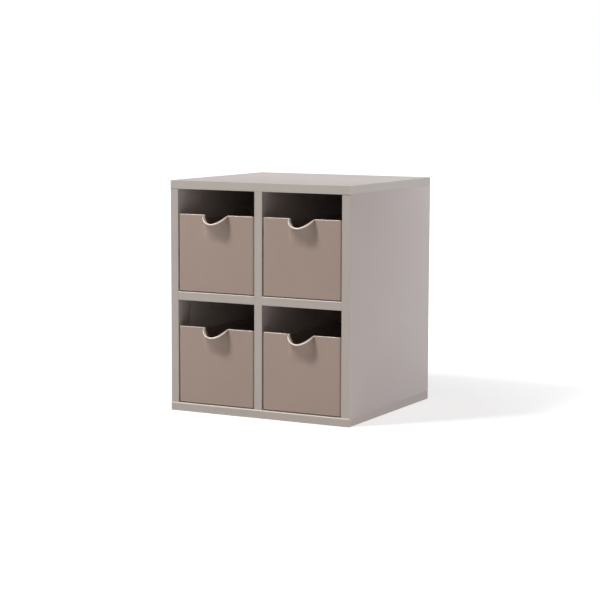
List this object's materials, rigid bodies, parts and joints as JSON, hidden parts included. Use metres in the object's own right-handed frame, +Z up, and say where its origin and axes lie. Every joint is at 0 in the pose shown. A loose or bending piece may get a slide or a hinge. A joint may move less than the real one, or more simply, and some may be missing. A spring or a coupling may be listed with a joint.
{
  "type": "desktop mini drawers",
  "caption": "Desktop cabinet of greige boards with open-topped moulded trays that slide out, each pulled by a scooped lip in its front.",
  "frame": {"origin": "middle of the cabinet's base, on the surface it stands on", "axes": "+Z up, +X to the right seen from the front, fronts and pulls face -Y"},
  "size_m": [0.28, 0.2769, 0.325],
  "materials": {
    "board": "greige laminate, fine matt texture",
    "back_board": "thin greige board, matt",
    "edge_band": "greige edge band, satin",
    "tray": "taupe moulded plastic, satin",
    "dowel_wood": "plain beech",
    "screw_steel": "zinc plated"
  },
  "bodies": {
    "cabinet": {"top_panel": "board", "bottom_panel": "board", "left_side": "board", "right_side": "board", "divider": "board", "left_shelf": "board", "right_shelf": "board", "back_panel": "back_board", "top_edge_band": "edge_band", "bottom_edge_band": "edge_band", "left_side_band": "edge_band", "right_side_band": "edge_band", "divider_band": "edge_band", "left_shelf_band": "edge_band", "right_shelf_band": "edge_band", "top_dowels": "dowel_wood", "shelf_dowels": "dowel_wood", "base_screws": "screw_steel"},
    "upper_left_drawer": {"upper_left_tray": "tray"},
    "upper_right_drawer": {"upper_right_tray": "tray"},
    "lower_left_drawer": {"lower_left_tray": "tray"},
    "lower_right_drawer": {"lower_right_tray": "tray"}
  },
  "joints": [
    {"name": "upper_left_slide", "type": "slide", "parent": "cabinet", "child": "upper_left_drawer", "axis": [0, -1, 0], "range_m": [0, 0.2]},
    {"name": "upper_right_slide", "type": "slide", "parent": "cabinet", "child": "upper_right_drawer", "axis": [0, -1, 0], "range_m": [0, 0.2]},
    {"name": "lower_left_slide", "type": "slide", "parent": "cabinet", "child": "lower_left_drawer", "axis": [0, -1, 0], "range_m": [0, 0.2]},
    {"name": "lower_right_slide", "type": "slide", "parent": "cabinet", "child": "lower_right_drawer", "axis": [0, -1, 0], "range_m": [0, 0.2]}
  ]
}
